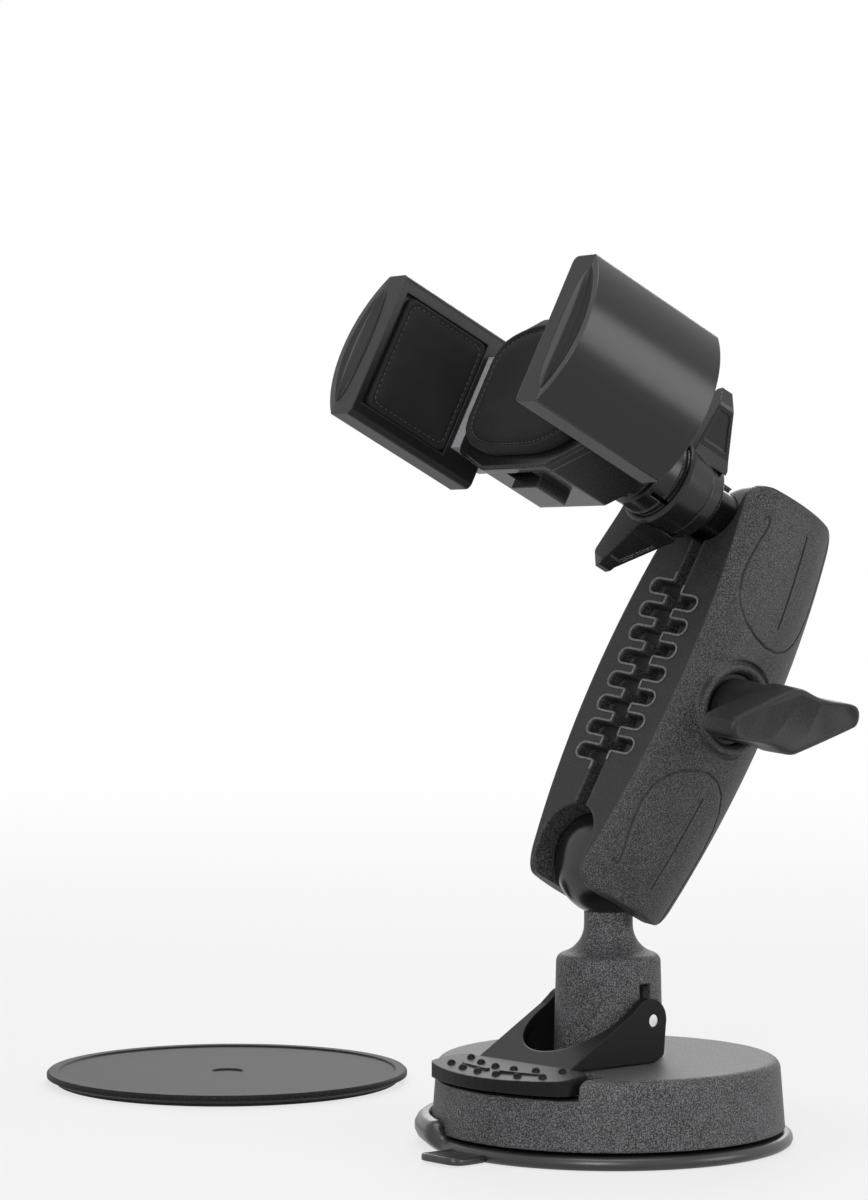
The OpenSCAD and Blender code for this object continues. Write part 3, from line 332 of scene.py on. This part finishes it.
def tube(path, radius, sides=8, closed=False):
    """Points and faces of a round bead of even thickness along a path of points."""
    rings, total = [], len(path)
    side = None
    for i, point in enumerate(path):
        ahead = path[(i + 1) % total] if closed or i < total - 1 else path[i]
        behind = path[i - 1] if closed or i > 0 else path[i]
        along = (Vector(ahead) - Vector(behind)).normalized()
        if side is None:
            side = along.orthogonal()
        side = (side - along * side.dot(along)).normalized()
        up = along.cross(side)
        rings.append([Vector(point) + radius * (math.cos(t) * side + math.sin(t) * up)
                      for t in (2 * math.pi * k / sides for k in range(sides))])
    return rings_mesh(rings, closed)


arm_turn = turned("X", arm_lean) @ turned("Y", arm_roll)
arm_place = moved(0, 0, ball_height) @ arm_turn
arm_side = tuple(arm_turn.to_3x3() @ Vector((0, 1, 0)))
# The narrow comb sides of both halves are coloured darker than the other faces: painted shade.
sandy_arm = plastic("sandy_arm_plastic", 0.028, sand=0.9, grain_mm=0.19, rough=0.48, shine=0.35, edge_mm=1.3,
                    edge_highlight_gain=0.3, painted_shade_axis=arm_side)
for name in ("arm_rear", "arm_front"):
    finish_node(name, sandy_arm)

# The comb slots have thin raised lips round them, moulded with the halves. The lips are coloured
# much lighter than the halves: a painted highlight along them.
comb_lip = plastic("comb_lip_plastic", 0.13, sand=0.2, rough=0.34, shine=0.6)
comb_pitch, comb_slot, comb_deep, half_gap, arm_half_width, arm_middle = 6.2, 3.3, 6.6, 2.0, 15.65, 43.0
lip_radius, lip_proud, lip_clear, lip_corner, lip_run, lip_bend, lip_end = 0.28, 0.02, 0.35, 0.15, 1.2, 0.7, 0.1
for half, side, count in (("arm_front", 1, 7), ("arm_rear", -1, 8)):
    for edge, face in (("near", -1), ("far", 1)):
        path = []
        y = face * (arm_half_width + lip_proud)
        radius = comb_slot / 2 + lip_clear
        bottom = arm_middle - (count / 2) * comb_pitch - lip_run
        top = arm_middle + (count / 2) * comb_pitch + lip_run
        for i in range(count):
            z = arm_middle + (i - (count - 1) / 2) * comb_pitch
            end = half_gap + comb_deep - comb_slot / 2
            path.append((side * (half_gap + lip_corner), y, z - radius - lip_corner))
            path.append((side * (half_gap + lip_bend), y, z - radius))
            for k in range(9):
                t = -math.pi / 2 + math.pi * k / 8
                path.append((side * (end + radius * math.cos(t)), y, z + radius * math.sin(t)))
            path.append((side * (half_gap + lip_bend), y, z + radius))
            path.append((side * (half_gap + lip_corner), y, z + radius + lip_corner))
        x = side * (half_gap + lip_end)
        path = [(x, y, bottom)] + path + [(x, y, top)]
        points, faces = tube(path, lip_radius, 6)
        lip = new_piece("comb_lip_" + half[4:] + "_" + edge, points, faces, comb_lip, arm_place)
        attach(lip, "arm" if half == "arm_rear" else "front_jaw")
plated = metal("plated_steel", 0.55, rough=0.3)
finish_node("clamp_bolt", plated)
finish_node("clamp_washer", metal("blackened_steel", 0.06, rough=0.5))
finish_node("clamp_spring", spring_wire)

# --- Gate mark ----------------------------------------------------------------------
# A small oval ring stands on the cap's side where the mould was fed. It is part of
# the cap's own plastic; it is drawn in the lips' lighter colour, a painted highlight.

mark_turn, mark_reach, mark_height = math.radians(259.5), 41.34, 10
mark_half_width, mark_half_height, mark_bead = 0.6, 1.05, 0.2
oval = [(mark_reach * math.cos(mark_turn) - mark_half_width * math.cos(t) * math.sin(mark_turn),
         mark_reach * math.sin(mark_turn) + mark_half_width * math.cos(t) * math.cos(mark_turn),
         mark_height + mark_half_height * math.sin(t))
        for t in (2 * math.pi * k / 20 for k in range(20))]
points, faces = tube(oval, mark_bead, 6, closed=True)
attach(new_piece("gate_mark", points, faces, comb_lip), "base")

# --- Wing knob ----------------------------------------------------------------------
# A moulded hub and a wing shaped bar, with a plain front face and rounded edges.
# A threaded brass insert is pressed into the hub and runs on the clamp's bolt.

knob_plastic = plastic("knob_plastic", 0.01, sand=0.6, grain_mm=0.19, rough=0.42, shine=0.32,
                       edge_mm=0.7, edge_highlight_gain=0.4)
knob_bar = [(19.15, -2.9), (19.98, -2.28), (20.49, -1.33), (20.7, -0.16), (20.56, 0.94), (19.98, 1.88),
            (18.84, 2.55), (16.97, 3.02), (14.49, 3.45), (11.59, 4.0), (8.9, 4.67), (6.83, 5.42), (5.18, 6.2),
            (3.83, 6.91), (2.48, 7.46), (1.04, 7.77), (-0.41, 7.85)]
knob_bar = [Vector(p) for p in knob_bar] + [-Vector(p) for p in knob_bar]


def even_outline(outline, count):
    """The same outline with evenly spaced, softly rounded points, from its start."""
    for _ in range(2):
        outline = [a.lerp(b, t) for a, b in zip(outline, outline[1:] + outline[:1]) for t in (0.25, 0.75)]
    lengths = [(b - a).length for a, b in zip(outline, outline[1:] + outline[:1])]
    step, made, walked, i = sum(lengths) / count, [], 0.0, 0
    for k in range(count):
        while walked + lengths[i] < k * step:
            walked += lengths[i]
            i += 1
        made.append(outline[i].lerp(outline[(i + 1) % len(outline)], (k * step - walked) / lengths[i]))
    return made


bar_ring = even_outline(knob_bar, 96)
knob_turn = math.radians(30)
hub_radius, hub_start, hub_taper = 7.4, 18.2, 0.02

# Each ring's distance from the arm's middle, how far it is bar and not hub, and its inset.
knob_shape = ((hub_start, 0, 0), (27.5, 0, 0), (28.6, 0.12, 0), (29.3, 0.45, 0), (29.8, 0.85, 0),
              (30.4, 1, 0), (31.4, 1, -0.15), (38.4, 1, 0), (39.3, 1, 0.25), (39.8, 1, 0.7),
              (40, 1, 1.4), (39.6, 1, 2.2))
knob_rings = []
for x, share, shrink in knob_shape:
    ring = []
    for p in bar_ring:
        hub = p.normalized() * (hub_radius - (x - hub_start) * hub_taper)
        flat = p * (1 - shrink / p.length)
        q = hub.lerp(flat, share)
        ring.append((x, q.x * math.cos(knob_turn) - q.y * math.sin(knob_turn),
                     arm_middle + q.x * math.sin(knob_turn) + q.y * math.cos(knob_turn)))
    knob_rings.append(ring)
points, faces = rings_mesh(knob_rings)
knob = new_piece("wing_knob_body", points, faces, knob_plastic, arm_place, 40)
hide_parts("wing_knob")
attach(knob, "knob")
finish_node("knob_insert", metal("turned_brass", 0.7, warm=0.9, rough=0.3))

# --- Stem, ring nut and cradle ---------------------------------------------------------
# The stem's small ball sits in a slotted socket behind the cradle, and the winged
# ring nut closes the socket. All are smooth black plastic with a soft gloss.

gloss = plastic("soft_gloss_plastic", 0.01, sand=0.0, grain_mm=0.25, rough=0.26, shine=0.4,
                edge_mm=0.5, edge_highlight_gain=0.6)
for name in ("ball_stem", "ring_nut", "cradle_back", "cradle_front", "release_button"):
    finish_node(name, gloss)
# The covers' edges get the strongest painted highlight.
cover_gloss = plastic("grip_cover_plastic", 0.01, sand=0.0, grain_mm=0.25, rough=0.24, shine=0.4, edge_mm=0.4,
                      edge_highlight_gain=1.0)
for name in ("left_cover", "right_cover"):
    finish_node(name, cover_gloss)
finish_node("cradle_screws", plated)

# --- Slides and pinion -----------------------------------------------------------------
# Each grip sits on a slide of pale slippery plastic with a rack on it. Both racks mesh
# with one pinion on the tray, so the grips move together.

pale_plastic = plastic("pale_slide_plastic", 0.33, sand=0.06, rough=0.36, shine=0.4, edge_highlight_gain=0.1)
for name in ("left_slide", "right_slide", "pinion"):
    finish_node(name, pale_plastic)

# --- Grip ends ---------------------------------------------------------------------------
# Each end of a grip carries a lens with one curved crease. Under it lies a near-black sheet, a little
# wider, that shows as a thin band round the lens: painted shade for the narrow groove there. The lens
# covers the cover's hollow and part of the jaw's end, and runs under the cover's edge, which has a painted
# highlight.

head_lean, head_roll, small_ball_height, cradle_turn, body_off = 90, -7.4, 29, 3.9, 2
stem_place = arm_place @ moved(0, 0, arm_span) @ turned("X", head_lean) @ turned("Y", head_roll)
cradle_place = stem_place @ moved(0, 0, small_ball_height) @ turned("Z", cradle_turn)
body_place = cradle_place @ moved(0, body_off, 0)
half_grip_gap, jaw_thick, grip_half_height, grip_back, grip_front = 33.15, 7.9, 18.5, 29.4, 67.8
cover_bulge, cover_thick = 7.5, 1.8
cover_radius = (grip_half_height ** 2 + cover_bulge ** 2) / (2 * cover_bulge)
chord = half_grip_gap + jaw_thick
cover_middle = chord + cover_bulge - cover_radius
lens_gap, lens_foot, lens_sink, lens_over_jaw = 0.06, 0.05, 0.9, 3.4


def end_lens(name, side, end, outward, margin, profile, material):
    """A plate between two arcs, its height given at shares of the way from jaw to cover."""
    tall, across = 40, len(profile) - 1
    inner_radius = cover_radius - cover_thick - lens_gap
    reach = math.sqrt(inner_radius ** 2 - (chord - cover_middle) ** 2) - 0.1 - margin
    skin, under = [], []
    for i in range(tall + 1):
        y = reach * math.sin(math.pi / 2 * (2 * i / tall - 1))
        bow = math.sqrt(max(1 - (y / reach) ** 2, 0))
        outer = cover_middle + math.sqrt(max(inner_radius ** 2 - y * y, 0))
        inner = chord - (lens_over_jaw - margin) * bow
        for t, rise in profile:
            x = inner + (outer - inner) * t
            skin.append((side * x, y, end + outward * (rise * min(1.0, bow * 1.6) - lens_foot)))
            under.append((side * x, y, end - outward * lens_sink))
    row, total, faces = across + 1, len(skin), []
    for i in range(tall):
        for k in range(across):
            a = i * row + k
            b = total + a
            faces += [(a, a + 1, a + row + 1, a + row), (b, b + row, b + row + 1, b + 1)]
    rim = ([k for k in range(row)] + [i * row + across for i in range(1, tall + 1)]
           + [tall * row + k for k in range(across - 1, -1, -1)] + [i * row for i in range(tall - 1, 0, -1)])
    faces += [(a, total + a, total + b, b) for a, b in zip(rim, rim[1:] + rim[:1])]
    lens = new_piece(name, skin + under, faces, material, body_place, 16)
    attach(lens, "left_grip" if side < 0 else "right_grip")


# The jaws' edges get a strong painted highlight.
jaw_plastic = plastic("jaw_plastic", 0.008, sand=0.04, grain_mm=0.25, rough=0.38, shine=0.28, edge_mm=0.55,
                      edge_highlight_gain=0.8)
# The seat is a near-black sheet under each lens that shows as a thin band round it: painted shade.
painted_groove_shade = plastic("lens_groove_painted_shade", 0.004, rough=0.5, shine=0.2)
for grip, side in (("left", -1), ("right", 1)):
    finish_node(grip + "_grip", jaw_plastic)
    for place, end, outward in (("front", grip_front, 1), ("back", grip_back, -1)):
        end_lens(grip + "_lens_groove_shade_" + place, side, end, outward, 0.0,
                 [(k / 8, 0.12) for k in range(9)], painted_groove_shade)
        end_lens(grip + "_lens_" + place, side, end, outward, 0.4,
                 [(0, 0.1), (0.03, 0.32), (0.2, 0.5), (0.42, 0.82), (0.46, 0.84), (0.49, 0.62), (0.62, 0.2),
                  (0.8, -0.05), (1, -0.2)], jaw_plastic)

# --- Pads --------------------------------------------------------------------------------
# Thin foam pads with a sewn edge: one set into each jaw, one glued to the cradle's
# cover. The foam is matte and finely pitted, and crowned between its seams.

foam = rubber("pad_foam", 0.012, rough=0.7, shine=0.2, sand=0.7)
thread = rubber("pad_thread", 0.05, rough=0.5, shine=0.3, sand=0.1, grain_mm=0.2)
stitch_gap, seam_share, seam_rise, thread_radius = 1.5, 0.895, 0.72, 0.16


def sewn_pad(name, node, outline, thick, put, body):
    """Rings from the foot of the pad over its rounded edge, down into the seam and up to the crown."""
    shape = ((0.985, 0.0), (1.0, 0.12), (1.0, 0.55), (0.985, 0.75), (0.955, 0.86), (0.925, 0.84),
             (0.905, 0.7), (0.885, 0.7), (0.865, 0.84), (0.82, 0.93), (0.72, 0.965), (0.5, 0.99),
             (0.25, 1.0), (0.04, 1.0))
    rings = [[put(p.x * share, p.y * share, thick * rise) for p in outline] for share, rise in shape]
    points, faces = rings_mesh(rings)
    pad = new_piece(name, points, faces, foam, body_place, 60)
    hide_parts(node)
    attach(pad, body)
    round_length = sum((a - b).length for a, b in zip(outline, outline[1:] + outline[:1]))
    seam = even_outline([p * seam_share for p in outline], int(round_length * seam_share / stitch_gap))
    points, faces = [], []
    for a, b in zip(seam, seam[1:] + seam[:1]):
        run = [a.lerp(b, 0.16 + 0.68 * k / 4) for k in range(5)]
        arch = [put(q.x, q.y, thick * seam_rise + thread_radius * math.sin(math.pi * k / 4))
                for k, q in enumerate(run)]
        more, sides = tube(arch, thread_radius, 5)
        faces += [tuple(i + len(points) for i in f) for f in sides]
        points += more
    stitches = new_piece(name + "_stitches", points, faces, thread, body_place)
    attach(stitches, body)


def rounded_rectangle(half_width, half_height, radius):
    return [Vector((cx * (half_width - radius) + radius * math.cos(t), cy * (half_height - radius)
                    + radius * math.sin(t)))
            for cx, cy, start in ((1, 1, 0), (-1, 1, 90), (-1, -1, 180), (1, -1, 270))
            for t in (math.radians(start + 22.5 * k) for k in range(5))]


pad_half_height, pad_half_depth, pad_corner, pad_thick, pad_middle, pad_seat = 14.5, 12.2, 1.6, 1.85, 52.35, 1.4
pad_outline = even_outline(rounded_rectangle(pad_half_height, pad_half_depth, pad_corner), 96)
for grip, side in (("left", -1), ("right", 1)):
    sewn_pad(grip + "_grip_pad", grip + "_pad", pad_outline, pad_thick,
             lambda a, b, h, side=side: (side * (half_grip_gap + pad_seat - h), a, pad_middle + b),
             grip + "_grip")
cushion_half_width, cushion_half_height, cushion_thick, cushion_seat = 22.4, 16.9, 3.5, 41.45
middle_outline = even_outline([Vector((x * cushion_half_width, y * cushion_half_height)) for x, y in (
    (1, 0), (1, 0.74), (0.5, 1), (0, 1), (-0.5, 1), (-1, 0.74), (-1, 0), (-1, -0.74), (-0.5, -1), (0, -1),
    (0.5, -1), (1, -0.74))], 96)
sewn_pad("middle_cushion", "middle_pad", middle_outline, cushion_thick,
         lambda a, b, h: (a, b, cushion_seat + h), "cradle")

# --- Suction cup ---------------------------------------------------------------------------
# A soft rubber cup whose thin rim spreads under the cap. Part of the rim is raised as
# a bead, and a flat tab sticks out in front, to peel the cup off. Its hidden pocket
# leaves the plunger's foot its whole stroke.

cup_rubber = rubber("cup_rubber", 0.018, rough=0.22, shine=0.6, sand=0.0)
cup_profile = [(34.6, 0.02), (38, 0), (41.6, 0), (42.6, 0.15), (43.25, 0.6), (43.55, 1.3), (43.5, 2.0),
               (43.2, 2.6), (42.6, 3.05), (41.8, 3.2), (40, 3.22), (37, 3.3), (33, 4.1), (26, 5.7),
               (19, 7.3), (14.5, 8.2), (13, 8.4), (4.1, 8.4), (4.1, 6.75), (11.1, 6.75), (11.1, 2.62),
               (0.05, 2.62)]
bead_middle, bead_half, bead_blend = math.radians(228), math.radians(25), math.radians(5)
rim_start, rim_foot, rim_heart, bead_heart = 41.7, 0.4, (42.0, 1.6), (42.75, 4.2)
bead_reach, bead_rise = 3.0, 3.1
rings, around = [], 192
for i in range(around):
    turn = 2 * math.pi * i / around
    away = abs((turn - bead_middle + math.pi) % (2 * math.pi) - math.pi)
    swell = max(0.0, min(1.0, (bead_half - away) / bead_blend))
    swell = swell * swell * (3 - 2 * swell)
    ring = []
    for r, z in cup_profile:
        if r > rim_start and z > rim_foot:
            lift = math.atan2(z - rim_heart[1], r - rim_heart[0])
            r += swell * (bead_heart[0] + bead_reach * math.cos(lift) - r)
            z += swell * (bead_heart[1] + bead_rise * math.sin(lift) - z)
        ring.append((r * math.cos(turn), r * math.sin(turn), z))
    rings.append(ring)
points, faces = rings_mesh(rings, closed=True)
count = len(cup_profile)
hidden = {(count - 1 + count * i) for i in range(around)}
faces = [f for f in faces if not (set(f) & hidden and any(k % count == 0 for k in f))]
under = len(points)
points += [(r * math.cos(2 * math.pi * i / around), r * math.sin(2 * math.pi * i / around), z)
           for r, z in ((22, 1.4), (8, 2.1), (0.05, 2.2)) for i in range(around)]
ring_start = [[count * i for i in range(around)]]
ring_start += [[under + around * k + i for i in range(around)] for k in range(3)]
for low, high in zip(ring_start, ring_start[1:]):
    faces += [(low[i], high[i], high[(i + 1) % around], low[(i + 1) % around]) for i in range(around)]
faces.append(tuple(ring_start[-1]))
faces.append(tuple(count * i + count - 1 for i in range(around)))
cup = new_piece("rubber_cup", points, faces, cup_rubber, flat_above=50)
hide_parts("suction_cup")
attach(cup, "base")

tab_middle, tab_curl = (-1.6, -47.5), 0.012
tab_outline = even_outline(rounded_rectangle(6.3, 6.0, 2.6), 48)
tab_rings = [[(p.x * share + tab_middle[0], tab_middle[1] + p.y * share, z + tab_curl * max(0, -p.y - 1) ** 2)
              for p in tab_outline]
             for share, z in ((0.93, 0.32), (0.99, 0.5), (1, 0.9), (1, 1.4), (0.98, 1.9), (0.93, 2.1),
                              (0.86, 2.0), (0.8, 1.9), (0.3, 1.9))]
points, faces = rings_mesh(tab_rings)
tab = new_piece("pull_tab", points, faces, cup_rubber, flat_above=50)
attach(tab, "base")

# --- Mounting disc ---------------------------------------------------------------------------
# A stiff plastic disc with a dull raised border and a small dimple, on a layer of
# foam tape. It is stuck to a rough dashboard to give the cup a smooth place.

finish_node("mounting_disc", plastic("disc_plastic", 0.015, sand=0.3, grain_mm=0.25, rough=0.5, shine=0.08))
tape = rubber("foam_tape", 0.03, rough=0.7, shine=0.2, sand=0.6)
disc_middle = (-135, -6)
tape_rings = [[(disc_middle[0] + r * math.cos(t), disc_middle[1] + r * math.sin(t), z)
               for t in (2 * math.pi * k / 128 for k in range(128))]
              for r, z in ((43.6, 0.0), (43.9, 0.12), (43.85, 0.4), (43.95, 0.66), (43.7, 0.79))]
points, faces = rings_mesh(tape_rings)
layer = new_piece("foam_tape_layer", points, faces, tape)
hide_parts("disc_adhesive")
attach(layer, "mounting_disc")
